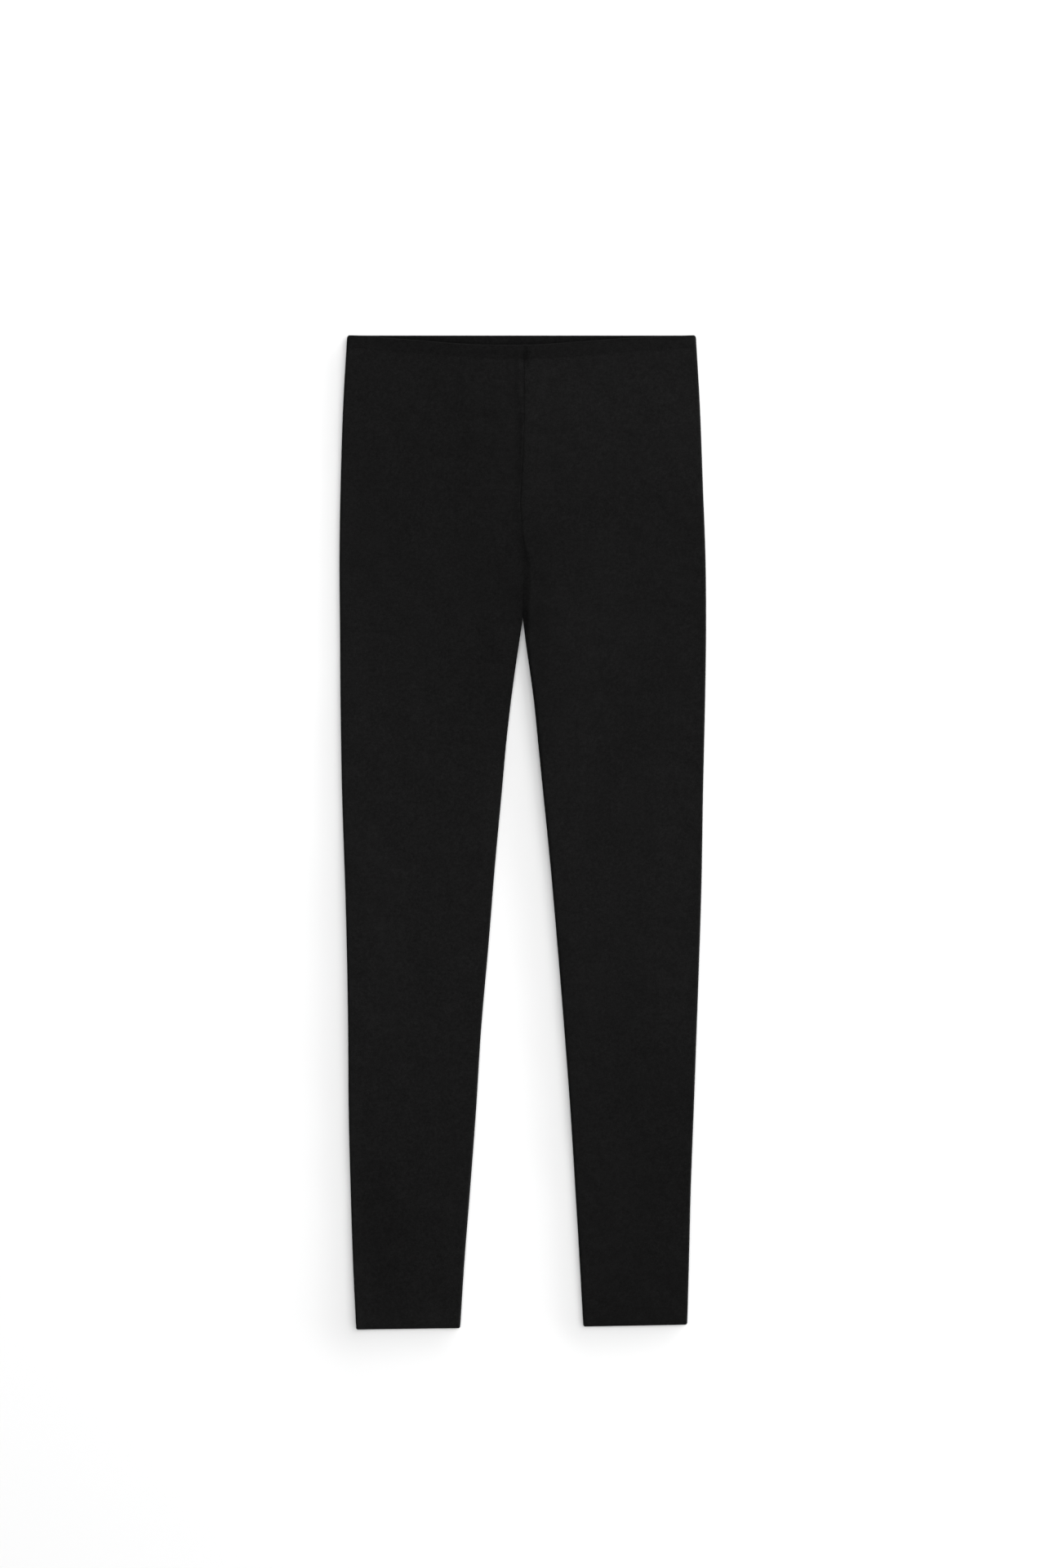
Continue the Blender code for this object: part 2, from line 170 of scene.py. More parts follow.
def grey_socket(tree, shade):
    colour = tree.nodes.new("ShaderNodeCombineColor")
    for channel in ("Red", "Green", "Blue"):
        tree.links.new(shade, colour.inputs[channel])
    return colour.outputs["Color"]


def loop_height(tree, across, along):
    """The height of the knit's face, 0 in the gaps and 1 on a strand, from places in metres."""
    wale = math_socket(tree, "FRACT", math_socket(tree, "DIVIDE", across, WALE))
    beside = math_socket(tree, "ABSOLUTE", math_socket(tree, "SUBTRACT", wale, 0.5))
    strand = math_socket(tree, "SINE", math_socket(tree, "MULTIPLY", beside, 2.0 * math.pi))
    slanted = math_socket(tree, "MULTIPLY", beside, LOOP_SLANT)
    course = math_socket(tree, "ADD", math_socket(tree, "DIVIDE", along, COURSE), slanted)
    turn = math_socket(tree, "MULTIPLY", math_socket(tree, "FRACT", course), math.pi)
    bulge = math_socket(tree, "SQRT", math_socket(tree, "SINE", turn))
    return math_socket(tree, "MULTIPLY", math_socket(tree, "ABSOLUTE", strand), bulge)


def jersey(name, black):
    """A jersey finish of that black. The mesh gives its cloth UV map, in metres, and its painted light
    and shade, a share that scales the black.
    """
    finish = bpy.data.materials.new(name)
    finish.use_nodes = True
    tree = finish.node_tree
    shader = tree.nodes["Principled BSDF"]

    cloth = tree.nodes.new("ShaderNodeUVMap")
    cloth.uv_map = "cloth"
    parts = tree.nodes.new("ShaderNodeSeparateXYZ")
    tree.links.new(cloth.outputs["UV"], parts.inputs["Vector"])
    place = tree.nodes.new("ShaderNodeTexCoord").outputs["Object"]
    nap = tree.nodes.new("ShaderNodeAttribute")
    nap.attribute_name = "nap"

    height = loop_height(tree, parts.outputs["X"], parts.outputs["Y"])
    fuzz = noise_socket(tree, place, FUZZ_SIZE, detail=3.0, roughness=0.7)
    pills = noise_socket(tree, place, PILL_SIZE, detail=1.0)
    blotch = noise_socket(tree, place, BLOTCH_SIZE, detail=3.0, roughness=0.55)

    # Painted shade in the knit's gaps, then tone that differs at random
    shade = math_socket(tree, "MULTIPLY", between(tree, height, LOOP_PAINTED_SHADES, (0.0, 0.8)), black)
    shade = math_socket(tree, "MULTIPLY", shade, between(tree, fuzz, FUZZ_SHADES))
    shade = math_socket(tree, "MULTIPLY", shade, between(tree, pills, PILL_SHADES))
    shade = math_socket(tree, "MULTIPLY", shade, between(tree, blotch, BLOTCH_SHADES))
    # The painted light and shade from the mesh scales the colour
    shade = math_socket(tree, "MULTIPLY", shade, nap.outputs["Fac"])
    tree.links.new(grey_socket(tree, shade), shader.inputs["Base Color"])
    tree.links.new(between(tree, fuzz, FUZZ_ROUGHNESS), shader.inputs["Roughness"])

    relief = tree.nodes.new("ShaderNodeBump")
    relief.inputs["Strength"].default_value = RELIEF_STRENGTH
    relief.inputs["Distance"].default_value = LOOP_RELIEF
    raised_fuzz = math_socket(tree, "MULTIPLY", fuzz, FUZZ_RELIEF)
    tree.links.new(math_socket(tree, "ADD", height, raised_fuzz), relief.inputs["Height"])
    tree.links.new(relief.outputs["Normal"], shader.inputs["Normal"])

    shader.inputs["Specular IOR Level"].default_value = 0.02
    shader.inputs["Sheen Weight"].default_value = 0.01
    shader.inputs["Sheen Roughness"].default_value = 0.45
    return finish


# ---------------------------------------------------------------------------------------------
# The two leg panels. Each is one cut of jersey with no side seam: it wraps round the outer fold
# and meets itself in the inseam, and the other panel in the centre-front and centre-back seams.
# The cloth lies soft and uneven, as smoothed by hand on a table.
LENGTH = 0.973
RISE = 0.277
BAND_HEIGHT = 0.0116
# Joined edges pass each other by a hair, so that no light shows between them
SEAM_OVERLAP = 0.00002
SIDE_SIGN = {"right": -1.0, "left": 1.0}

JERSEY_THICKNESS = 0.0011
EDGE_ROUND = 0.00004
# The front's height where it lies flat, the width of an outer fold, and how far from it the
# front's height turns into the fold's
LAID_HEIGHT = 0.0041
FOLD_WIDTH = 0.0018
FOLD_FADE = 0.014
# How round a cloth edge's corner is at a fold, and from how far up the hem it is so
CORNER_ROUND = 0.0020
HEM_CORNER_REACH = 0.012

PANEL_ROWS = 300
EDGE_ROWS = 8
WAIST_ROWS_REACH = 0.004
HEM_ROWS_REACH = 0.003
MARGIN_STEPS = 9
FRONT_STEPS = 64
FOLD_STEPS = 8
BACK_STEPS = 22

Station = namedtuple("Station", "down right left")
Level = namedtuple("Level", "down size")
Dip = namedtuple("Dip", "x edge seam")
Hem = namedtuple("Hem", "outer inner")
Crease = namedtuple("Crease", "x0 down0 x1 down1 bow width height")
Dimple = namedtuple("Dimple", "x down wide long depth")
Patch = namedtuple("Patch", "x down wide long nap")

# Distance of the outer and the inner folds from the centre line, at distances down from the
# back waist edge
OUTER_FOLD = [
    Station(down=0.000, right=0.1720, left=0.1695),
    Station(down=0.070, right=0.1760, left=0.1735),
    Station(down=0.150, right=0.1785, left=0.1765),
    Station(down=0.220, right=0.1795, left=0.1790),
    Station(down=0.290, right=0.1790, left=0.1795),
    Station(down=0.360, right=0.1785, left=0.1785),
    Station(down=0.450, right=0.1770, left=0.1765),
    Station(down=0.540, right=0.1740, left=0.1750),
    Station(down=0.620, right=0.1720, left=0.1725),
    Station(down=0.690, right=0.1710, left=0.1700),
    Station(down=0.760, right=0.1705, left=0.1675),
    Station(down=0.840, right=0.1685, left=0.1645),
    Station(down=0.910, right=0.1662, left=0.1628),
    Station(down=LENGTH, right=0.1632, left=0.1611),
]
INNER_FOLD = [
    Station(down=RISE, right=0.0000, left=0.0000),
    Station(down=0.300, right=0.0034, left=0.0027),
    Station(down=0.330, right=0.0078, left=0.0070),
    Station(down=0.360, right=0.0118, left=0.0110),
    Station(down=0.400, right=0.0163, left=0.0150),
    Station(down=0.450, right=0.0208, left=0.0200),
    Station(down=0.520, right=0.0273, left=0.0270),
    Station(down=0.600, right=0.0338, left=0.0340),
    Station(down=0.680, right=0.0408, left=0.0405),
    Station(down=0.760, right=0.0458, left=0.0465),
    Station(down=0.840, right=0.0518, left=0.0515),
    Station(down=0.910, right=0.0573, left=0.0557),
    Station(down=LENGTH, right=0.0613, left=0.0592),
]
# The height of the outer folds
FOLD_LEVEL = [
    Station(down=0.000, right=0.0040, left=0.0040),
    Station(down=0.150, right=0.0042, left=0.0042),
    Station(down=0.500, right=0.0044, left=0.0044),
    Station(down=0.740, right=0.0049, left=0.0044),
    Station(down=0.870, right=0.0058, left=0.0044),
    Station(down=0.930, right=0.0062, left=0.0040),
    Station(down=LENGTH, right=0.0060, left=0.0034),
]
# The height of the front's inner edge, then how high and over what width the front rolls up
# from it, and how round that roll is. From the crotch down the left leg lies fuller, and its
# side makes a trough.
SEAM_LEVEL = [
    Station(down=0.012, right=0.0049, left=0.0049),
    Station(down=0.045, right=0.0049, left=0.0049),
    Station(down=0.080, right=0.0050, left=0.0050),
    Station(down=0.190, right=0.0049, left=0.0049),
    Station(down=0.215, right=0.0047, left=0.0047),
    Station(down=0.250, right=0.0047, left=0.0047),
    Station(down=RISE, right=0.0044, left=0.0044),
    Station(down=0.290, right=0.0050, left=0.0064),
    Station(down=0.305, right=0.0052, left=0.0078),
    Station(down=0.330, right=0.0036, left=0.0080),
    Station(down=0.400, right=0.0018, left=0.0056),
    Station(down=0.450, right=0.0018, left=0.0049),
    Station(down=0.510, right=0.0018, left=0.0043),
    Station(down=0.560, right=0.0019, left=0.0036),
    Station(down=0.630, right=0.0020, left=0.0029),
    Station(down=0.750, right=0.0021, left=0.0033),
    Station(down=0.830, right=0.0022, left=0.0026),
    Station(down=LENGTH, right=0.0020, left=0.0024),
]
ROLL_CREST = [
    Station(down=0.180, right=0.0041, left=0.0041),
    Station(down=0.212, right=0.0043, left=0.0049),
    Station(down=0.232, right=0.0046, left=0.0062),
    Station(down=0.255, right=0.0049, left=0.0075),
    Station(down=RISE, right=0.0053, left=0.0088),
    Station(down=0.290, right=0.0060, left=0.0097),
    Station(down=0.305, right=0.0065, left=0.0103),
    Station(down=0.330, right=0.0054, left=0.0106),
    Station(down=0.360, right=0.0042, left=0.0106),
    Station(down=0.400, right=0.0037, left=0.0098),
    Station(down=0.430, right=0.0037, left=0.0090),
    Station(down=0.470, right=0.0037, left=0.0088),
    Station(down=0.510, right=0.0037, left=0.0080),
    Station(down=0.550, right=0.0038, left=0.0068),
    Station(down=0.590, right=0.0039, left=0.0060),
    Station(down=0.640, right=0.0040, left=0.0054),
    Station(down=0.710, right=0.0041, left=0.0060),
    Station(down=0.750, right=0.0042, left=0.0069),
    Station(down=0.790, right=0.0043, left=0.0060),
    Station(down=0.830, right=0.0044, left=0.0050),
    Station(down=0.930, right=0.0044, left=0.0050),
    Station(down=LENGTH, right=0.0041, left=0.0045),
]
ROLL_WIDTH = [
    Station(down=0.195, right=0.0010, left=0.0010),
    Station(down=0.212, right=0.0010, left=0.0030),
    Station(down=0.230, right=0.0010, left=0.0080),
    Station(down=0.255, right=0.0014, left=0.0082),
    Station(down=RISE, right=0.0030, left=0.0062),
    Station(down=0.300, right=0.0024, left=0.0040),
    Station(down=0.330, right=0.0022, left=0.0028),
    Station(down=0.390, right=0.0020, left=0.0025),
    Station(down=0.600, right=0.0020, left=0.0021),
    Station(down=LENGTH, right=0.0022, left=0.0022),
]
ROLL_ROUNDNESS = [
    Station(down=0.258, right=0.0, left=0.0),
    Station(down=RISE, right=0.8, left=0.05),
    Station(down=0.292, right=1.0, left=0.25),
    Station(down=0.320, right=1.0, left=1.0),
    Station(down=LENGTH, right=1.0, left=1.0),
]
ROLL_REACH = {"right": 0.030, "left": 0.110}
# The back's edge lies flat above the crotch, then curls up to close the inseam
CURL_START = 0.254
CURL_WIDTH = [
    Station(down=RISE, right=0.0038, left=0.0060),
    Station(down=0.330, right=0.0028, left=0.0086),
    Station(down=0.450, right=0.0018, left=0.0078),
    Station(down=0.560, right=0.0018, left=0.0050),
    Station(down=0.750, right=0.0020, left=0.0040),
    Station(down=LENGTH, right=0.0020, left=0.0024),
]
# The least angle of that curl, so that the flat stretch takes the same formula
LEAST_CURL = 0.001
# How far the front's waist edge, and the seam under the waistband, lie below the back's
FRONT_DIP = [
    Dip(x=-0.1720, edge=0.0000, seam=0.0000),
    Dip(x=-0.1540, edge=0.0006, seam=0.0010),
    Dip(x=-0.1300, edge=0.0028, seam=0.0038),
    Dip(x=-0.0940, edge=0.0057, seam=0.0067),
    Dip(x=-0.0580, edge=0.0085, seam=0.0095),
    Dip(x=-0.0200, edge=0.0096, seam=0.0114),
    Dip(x=0.0140, edge=0.0091, seam=0.0115),
    Dip(x=0.0500, edge=0.0067, seam=0.0092),
    Dip(x=0.0860, edge=0.0040, seam=0.0066),
    Dip(x=0.1220, edge=0.0018, seam=0.0036),
    Dip(x=0.1580, edge=0.0003, seam=0.0011),
    Dip(x=0.1700, edge=0.0000, seam=0.0000),
]
# How far down the panels' rows run straight again
DIP_FADE = 0.200
# How far the centre-front seam wanders sideways, and how far from it the cloth goes along
SEAM_DRIFT = [
    Level(down=0.012, size=0.0008),
    Level(down=0.031, size=0.0010),
    Level(down=0.087, size=0.0008),
    Level(down=0.119, size=-0.0006),
    Level(down=0.163, size=-0.0024),
    Level(down=0.187, size=-0.0010),
    Level(down=0.215, size=0.0010),
    Level(down=0.243, size=0.0000),
    Level(down=0.263, size=-0.0005),
    Level(down=RISE, size=0.0000),
]
DRIFT_REACH = 0.030
# The seam allowances, pressed towards the right leg, lift a low ridge beside the seam. Near the
# waist it is flat on top, out to its crest line and a share of the height, and further down it
# is sharper. The left leg has a low shoulder on the far side.
RIDGE_WIDTH = 0.0085
RIDGE_CREST = 0.0050
RIDGE_HEIGHT = 0.0008
RIDGE_TOP = 0.65
RIDGE_SHARPENS_AT = 0.045
RIDGE_SHARP_BY = 0.080
RIDGE_FADES_AT = 0.195
RIDGE_END = 0.225
FAR_SIDE_HEIGHT = 0.0008
FAR_SIDE_WIDTH = 0.0300
# The dents where the centre-front seam runs up under the waistband, and the small one at the
# top of the trough
DIMPLES = [
    Dimple(x=0.0006, down=0.0215, wide=0.0030, long=0.0080, depth=0.0013),
    Dimple(x=-0.0040, down=0.0250, wide=0.0062, long=0.0052, depth=0.0006),
    Dimple(x=0.0012, down=0.2180, wide=0.0020, long=0.0060, depth=0.0008),
]
# The front swells a little below the waistband, and sinks at its hem
WAIST_SWELL = 0.0003
WAIST_SWELL_FADE = 0.015
HEM_DROP = 0.0004
HEM_DROP_FADE = 0.0012
# How far down each hem's two ends lie
HEMS = {
    "right": Hem(outer=0.9730, inner=0.9718),
    "left": Hem(outer=0.9683, inner=0.9702),
}
# Soft ridges (raised) and troughs (sunk) of each front layer, bowed sideways by bow
CREASES = {
    "right": [
        Crease(x0=-0.020, down0=0.060, x1=-0.016, down1=0.160, bow=0.003, width=0.036, height=0.0006),
        Crease(x0=-0.166, down0=0.135, x1=-0.168, down1=0.230, bow=0.004, width=0.034, height=-0.0007),
        Crease(x0=-0.060, down0=0.240, x1=-0.150, down1=0.300, bow=0.008, width=0.038, height=-0.0010),
        Crease(x0=-0.112, down0=0.255, x1=-0.158, down1=0.335, bow=-0.006, width=0.026, height=-0.0005),
        Crease(x0=-0.160, down0=0.520, x1=-0.158, down1=0.690, bow=0.006, width=0.032, height=0.0011),
        Crease(x0=-0.048, down0=0.815, x1=-0.084, down1=0.855, bow=0.005, width=0.034, height=0.0005),
        Crease(x0=-0.164, down0=0.835, x1=-0.160, down1=0.935, bow=0.003, width=0.024, height=-0.0007),
    ],
    "left": [
        Crease(x0=0.018, down0=0.045, x1=0.022, down1=0.150, bow=0.004, width=0.036, height=0.0006),
        Crease(x0=0.146, down0=0.140, x1=0.056, down1=0.200, bow=-0.008, width=0.040, height=0.0014),
        Crease(x0=0.128, down0=0.265, x1=0.138, down1=0.370, bow=0.005, width=0.036, height=0.0007),
        Crease(x0=0.074, down0=0.370, x1=0.062, down1=0.500, bow=0.006, width=0.038, height=-0.0009),
        Crease(x0=0.044, down0=0.570, x1=0.050, down1=0.665, bow=-0.004, width=0.030, height=0.0008),
        Crease(x0=0.122, down0=0.620, x1=0.050, down1=0.660, bow=0.006, width=0.026, height=0.0006),
        Crease(x0=0.128, down0=0.650, x1=0.160, down1=0.735, bow=-0.005, width=0.034, height=0.0008),
        Crease(x0=0.066, down0=0.745, x1=0.092, down1=0.785, bow=0.004, width=0.034, height=-0.0009),
        Crease(x0=0.158, down0=0.815, x1=0.156, down1=0.905, bow=-0.003, width=0.030, height=0.0006),
        Crease(x0=0.084, down0=0.940, x1=0.062, down1=0.960, bow=0.000, width=0.028, height=-0.0005),
    ],
}
# The slight waves of a soft cloth, and how far below the waistband they start
UNEVEN_HEIGHT = 0.00022
UNEVEN_SIZE = 0.030
UNEVEN_FALLOFF = 0.9
UNEVEN_STEP = 2.2
UNEVEN_OCTAVES = 3
UNEVEN_START = 0.012
# Painted light and shade: soft patches where the cloth's colour is made paler or darker, to stand in
# for light and shade on its relief
LIGHT_AND_SHADE_PATCHES = [
    Patch(x=-0.006, down=0.024, wide=0.009, long=0.010, nap=-0.12),
    Patch(x=-0.075, down=0.120, wide=0.090, long=0.130, nap=-0.10),
    Patch(x=-0.0012, down=0.125, wide=0.0022, long=0.050, nap=-0.18),
    Patch(x=-0.004, down=0.180, wide=0.006, long=0.045, nap=0.20),
    Patch(x=-0.010, down=0.318, wide=0.014, long=0.052, nap=0.21),
    Patch(x=-0.038, down=0.320, wide=0.024, long=0.045, nap=0.04),
    Patch(x=-0.022, down=0.400, wide=0.014, long=0.070, nap=0.13),
    Patch(x=-0.028, down=0.480, wide=0.012, long=0.070, nap=0.12),
    Patch(x=-0.160, down=0.410, wide=0.030, long=0.085, nap=0.04),
    Patch(x=-0.080, down=0.500, wide=0.100, long=0.170, nap=0.04),
    Patch(x=-0.165, down=0.630, wide=0.030, long=0.100, nap=0.05),
    Patch(x=-0.155, down=0.900, wide=0.050, long=0.120, nap=-0.14),
    Patch(x=-0.075, down=0.968, wide=0.035, long=0.020, nap=0.08),
    Patch(x=0.100, down=0.045, wide=0.100, long=0.095, nap=0.06),
    Patch(x=0.001, down=0.055, wide=0.003, long=0.035, nap=0.22),
    Patch(x=0.009, down=0.200, wide=0.010, long=0.035, nap=-0.14),
    Patch(x=0.004, down=0.255, wide=0.006, long=0.020, nap=0.12),
    Patch(x=0.014, down=0.262, wide=0.015, long=0.050, nap=-0.11),
    Patch(x=0.006, down=0.279, wide=0.008, long=0.016, nap=-0.15),
    Patch(x=0.034, down=0.280, wide=0.026, long=0.016, nap=-0.06),
    Patch(x=-0.016, down=0.280, wide=0.018, long=0.012, nap=-0.05),
    Patch(x=0.018, down=0.330, wide=0.018, long=0.070, nap=-0.13),
    Patch(x=0.110, down=0.275, wide=0.110, long=0.140, nap=-0.11),
    Patch(x=0.150, down=0.310, wide=0.025, long=0.060, nap=-0.07),
    Patch(x=0.075, down=0.450, wide=0.050, long=0.080, nap=-0.02),
    Patch(x=0.158, down=0.560, wide=0.028, long=0.045, nap=0.06),
    Patch(x=0.120, down=0.780, wide=0.050, long=0.045, nap=0.05),
    Patch(x=0.110, down=0.820, wide=0.100, long=0.190, nap=-0.105),
    Patch(x=0.155, down=0.800, wide=0.035, long=0.160, nap=-0.04),
    Patch(x=0.105, down=0.965, wide=0.070, long=0.040, nap=-0.10),
]


def smooth_step(start, end, value):
    part = np.clip((value - start) / (end - start), 0.0, 1.0)
    return part * part * (3.0 - 2.0 * part)


def curve_at(knots, values):
    """A smooth curve through (position, size) pairs in order, read at the given positions."""
    places = np.array([knot[0] for knot in knots])
    sizes = np.array([knot[1] for knot in knots])
    slopes = np.empty(len(knots))
    slopes[1:-1] = (sizes[2:] - sizes[:-2]) / (places[2:] - places[:-2])
    slopes[0] = (sizes[1] - sizes[0]) / (places[1] - places[0])
    slopes[-1] = (sizes[-1] - sizes[-2]) / (places[-1] - places[-2])
    values = np.clip(values, places[0], places[-1])
    start = np.clip(np.searchsorted(places, values) - 1, 0, len(knots) - 2)
    step = places[start + 1] - places[start]
    part = (values - places[start]) / step
    rest = 1.0 - part
    ends = rest * rest * (1.0 + 2.0 * part) * sizes[start]
    ends += part * part * (3.0 - 2.0 * part) * sizes[start + 1]
    return ends + step * part * rest * (rest * slopes[start] - part * slopes[start + 1])


def station_at(table, side, down):
    return curve_at([(station.down, getattr(station, side)) for station in table], down)


def outer_fold(side, down):
    return station_at(OUTER_FOLD, side, down)


def fold_level(side, down):
    return station_at(FOLD_LEVEL, side, down)


def inner_fold(side, down):
    return np.maximum(station_at(INNER_FOLD, side, down), -SEAM_OVERLAP)


def front_dip(column, x):
    return curve_at([(dip.x, getattr(dip, column)) for dip in FRONT_DIP], x)


def seam_drift(x, down):
    return curve_at(SEAM_DRIFT, down) * np.exp(-(x / DRIFT_REACH) ** 2)


def dip_of_row(x, down):
    """How far down the front of the panels is drawn at a row, fading away from the waist."""
    fade = np.clip((DIP_FADE - down) / (DIP_FADE - BAND_HEIGHT), 0.0, 1.0) ** 2
    return front_dip("seam", x) * fade


def corner_round(to_tip):
    """How far a cloth edge draws back where it turns round a fold."""
    part = 1.0 - np.clip(to_tip / CORNER_ROUND, 0.0, 1.0)
    return CORNER_ROUND * (1.0 - np.sqrt(1.0 - part * part))


def crease_height(creases, x, down):
    """The relief of straight or bowed ridges and troughs, each a round swell about its line."""
    total = np.zeros_like(x)
    for crease in creases:
        run_x = crease.x1 - crease.x0
        run_down = crease.down1 - crease.down0
        long = math.hypot(run_x, run_down)
        along = ((x - crease.x0) * run_x + (down - crease.down0) * run_down) / long ** 2
        along = np.clip(along, 0.0, 1.0)
        bow = crease.bow * np.sin(math.pi * along)
        away_x = x - crease.x0 - along * run_x - bow * run_down / long
        away_down = down - crease.down0 - along * run_down + bow * run_x / long
        away = (away_x ** 2 + away_down ** 2) / crease.width ** 2
        total += crease.height * np.exp(-away)
    return total


def unevenness(x, down):
    waves = np.array([
        noise.fractal(Vector((px / UNEVEN_SIZE, pd / UNEVEN_SIZE, 0.0)),
                      UNEVEN_FALLOFF, UNEVEN_STEP, UNEVEN_OCTAVES)
        for px, pd in zip(x.ravel(), down.ravel())])
    below_band = smooth_step(BAND_HEIGHT, BAND_HEIGHT + UNEVEN_START, down)
    return UNEVEN_HEIGHT * waves.reshape(x.shape) * below_band


def seam_ridge(side, to_seam, down):
    """The relief beside the centre-front seam: the ridge on the right leg, and a low shoulder
    on the left one."""
    fade = smooth_step(RIDGE_END, RIDGE_FADES_AT, down)
    if side == "left":
        return FAR_SIDE_HEIGHT * fade * smooth_step(FAR_SIDE_WIDTH, 0.0, to_seam)
    flat_top = RIDGE_TOP * smooth_step(RIDGE_WIDTH, RIDGE_CREST, to_seam)
    sharp = (1.0 - np.clip(to_seam / RIDGE_WIDTH, 0.0, 1.0)) ** 2
    sharpening = smooth_step(RIDGE_SHARPENS_AT, RIDGE_SHARP_BY, down)
    return RIDGE_HEIGHT * fade * (flat_top + (sharp - flat_top) * sharpening)


def nearness(spot, x, down):
    """1 in the middle of a dimple or patch, and less and less round it."""
    return np.exp(-((x - spot.x) / spot.wide) ** 2 - ((down - spot.down) / spot.long) ** 2)


def dimple_depth(x, down):
    return sum(dimple.depth * nearness(dimple, x, down) for dimple in DIMPLES)


def seam_height(side, down):
    """The height of the front's inner edge, in its dimples too."""
    return station_at(SEAM_LEVEL, side, down) - dimple_depth(0.0, down + dip_of_row(0.0, down))


def front_height(side, x, down):
    """The height of a panel's front where it lies, before its inner edge rolls down."""
    to_outer = np.maximum(outer_fold(side, down) - np.abs(x), 0.0)
    to_inner = np.maximum(np.abs(x) - inner_fold(side, down), 0.0)
    height = LAID_HEIGHT + (fold_level(side, down) - LAID_HEIGHT) * np.exp(-to_outer / FOLD_FADE)
    fullness = station_at(ROLL_CREST, side, down) - LAID_HEIGHT
    height += fullness * np.exp(-(to_inner / ROLL_REACH[side]) ** 2)
    height += WAIST_SWELL * np.exp(-(down - BAND_HEIGHT) / WAIST_SWELL_FADE)
    height -= HEM_DROP * np.exp(-(LENGTH - down) / HEM_DROP_FADE)
    height += seam_ridge(side, to_inner, down)
    height -= dimple_depth(x, down + dip_of_row(x, down))
    return height + crease_height(CREASES[side], x, down) + unevenness(x, down)


# The painted light and shade at points: 1, made paler or darker in each patch
def painted_light_and_shade_at(points):
    down = 0.5 * LENGTH - points[..., 1]
    return 1.0 + sum(patch.nap * nearness(patch, points[..., 0], down) for patch in LIGHT_AND_SHADE_PATCHES)


def front_section(side, down, top_at):
    """The front's distances from the centre line and its heights, from its inner edge over its
    roll to the outer fold. Its columns stand closer beside the folds."""
    inner = inner_fold(side, down)
    outer = outer_fold(side, down)
    turn = 0.5 * math.pi * np.arange(MARGIN_STEPS + 1) / MARGIN_STEPS
    reach = 1.0 - np.cos(turn)
    # A plain slope that levels off only at its crest
    slope = 1.25 * reach - 0.25 * reach ** 5
    roundness = np.clip(station_at(ROLL_ROUNDNESS, side, down), 0.0, 1.0)
    rise = roundness * np.sin(turn) + (1.0 - roundness) * slope
    width = station_at(ROLL_WIDTH, side, down)
    edge = inner + width * reach
    seam = seam_height(side, down)
    edge_z = seam - SEAM_OVERLAP + (top_at(edge) - seam) * rise

    share = np.arange(1, FRONT_STEPS) / FRONT_STEPS
    share = 0.6 * share + 0.4 * (0.5 - 0.5 * np.cos(math.pi * share))
    front = inner + width + (outer - FOLD_WIDTH - inner - width) * share
    return np.hstack([edge, front]), np.hstack([edge_z, top_at(front)])


def fold_section(side, down, top_at):
    """The same for the outer fold, from the front round to the back."""
    middle = 0.5 * fold_level(side, down)
    turn = 0.5 * math.pi * (1.0 - np.arange(2 * FOLD_STEPS + 1) / FOLD_STEPS)
    fold = outer_fold(side, down) - FOLD_WIDTH * (1.0 - np.cos(turn))
    return fold, middle + np.where(turn > 0.0, top_at(fold) - middle, middle) * np.sin(turn)


def back_section(side, down):
    """The same for the back, from the outer fold to its inner edge, which is flat above the
    crotch and curls up to the inseam below it."""
    inner = inner_fold(side, down)
    outer = outer_fold(side, down)
    closing = smooth_step(CURL_START, RISE, down)
    curl = np.maximum(0.5 * math.pi * closing, LEAST_CURL)
    margin = FOLD_WIDTH + (station_at(CURL_WIDTH, side, down) - FOLD_WIDTH) * closing
    angle = curl * np.arange(MARGIN_STEPS + 1) / MARGIN_STEPS
    edge = inner + margin * (1.0 - np.sin(angle) / np.sin(curl))
    edge_z = (seam_height(side, down) + SEAM_OVERLAP) * (1.0 - np.cos(angle))
    share = 1.0 - np.arange(1, BACK_STEPS) / BACK_STEPS
    back = inner + margin + (outer - FOLD_WIDTH - inner - margin) * share
    return np.hstack([back, edge]), np.hstack([np.zeros_like(back), edge_z])


def below_crotch(side, down, distance):
    """How far down a row's points lie in the leg. The rows come to slant as the hem does, and
    its corners are rounded off at the folds."""
    hem = HEMS[side]
    hem_outer = outer_fold(side, LENGTH)
    across = np.clip((hem_outer - distance) / (hem_outer - inner_fold(side, LENGTH)), 0.0, 1.0)
    hem_down = hem.outer + (hem.inner - hem.outer) * across
    slanted = RISE + (down - RISE) * (hem_down - RISE) / (LENGTH - RISE)
    to_fold = np.minimum(outer_fold(side, down) - distance, distance - inner_fold(side, down))
    return slanted - corner_round(to_fold) * smooth_step(LENGTH - HEM_CORNER_REACH, LENGTH, down)


def panel_points(side, downs):
    """The panel's points as (rows, columns, 3): from the front's inner edge, over the front,
    round the outer fold, and along the back to its inner edge."""
    down = downs[:, None]
    sign = SIDE_SIGN[side]

    def top_at(distance):
        return front_height(side, sign * distance, np.broadcast_to(down, distance.shape))

    front, front_z = front_section(side, down, top_at)
    fold, fold_z = fold_section(side, down, top_at)
    back, back_z = back_section(side, down)
    distance = np.hstack([front, fold, back])
    on_front = np.arange(distance.shape[1]) <= front.shape[1] + FOLD_STEPS

    x = sign * distance
    above_crotch = down + dip_of_row(x, down) * on_front
    row_down = np.where(down > RISE, below_crotch(side, down, distance), above_crotch)
    x = x + seam_drift(x, down) * on_front
    return np.stack([x, 0.5 * LENGTH - row_down, np.hstack([front_z, fold_z, back_z])], axis=2)


